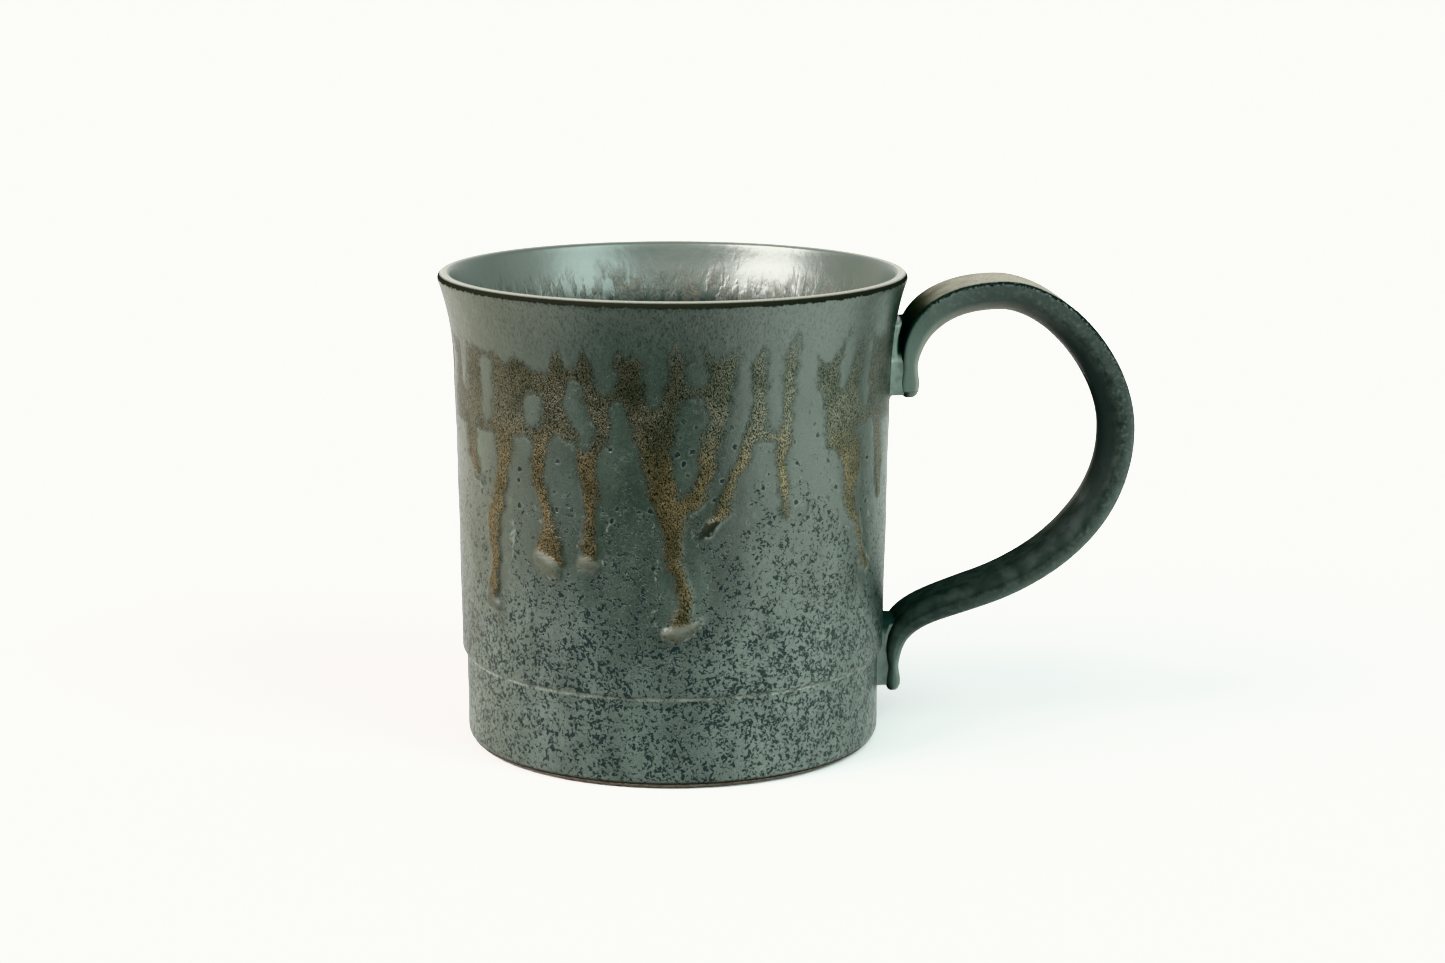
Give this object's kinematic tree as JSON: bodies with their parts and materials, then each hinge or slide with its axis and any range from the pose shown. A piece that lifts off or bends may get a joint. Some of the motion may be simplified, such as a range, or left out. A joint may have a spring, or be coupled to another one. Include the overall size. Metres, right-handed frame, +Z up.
{
  "type": "mug",
  "caption": "Wheel-thrown stoneware mug with a flared lip, a trimmed foot band, layered drip glazes and a looping strap handle.",
  "frame": {"origin": "on the cup's axis, at the plane that the foot ring stands on", "axes": "+Z up along the cup's axis, +X toward the handle, +Y completes the right-handed frame"},
  "size_m": [0.129, 0.0864, 0.088],
  "materials": {
    "bare_stoneware": "matte",
    "celadon_glaze": "satin",
    "liner_glaze": "satin",
    "brown_glaze": "matte",
    "drop_glaze": "gloss",
    "handle_stoneware": "matte",
    "handle_glaze": "satin"
  },
  "bodies": {
    "root": {"stoneware_cup": "bare_stoneware", "outer_glaze": "celadon_glaze", "liner_glaze": "liner_glaze", "brown_overglaze": "brown_glaze", "glaze_drops": "drop_glaze", "handle_strap": "handle_stoneware", "handle_glaze": "handle_glaze", "upper_handle_pad": "handle_glaze", "lower_handle_pad": "handle_glaze", "upper_slip_fillet": "celadon_glaze", "lower_slip_fillet": "celadon_glaze"}
  },
  "joints": []
}
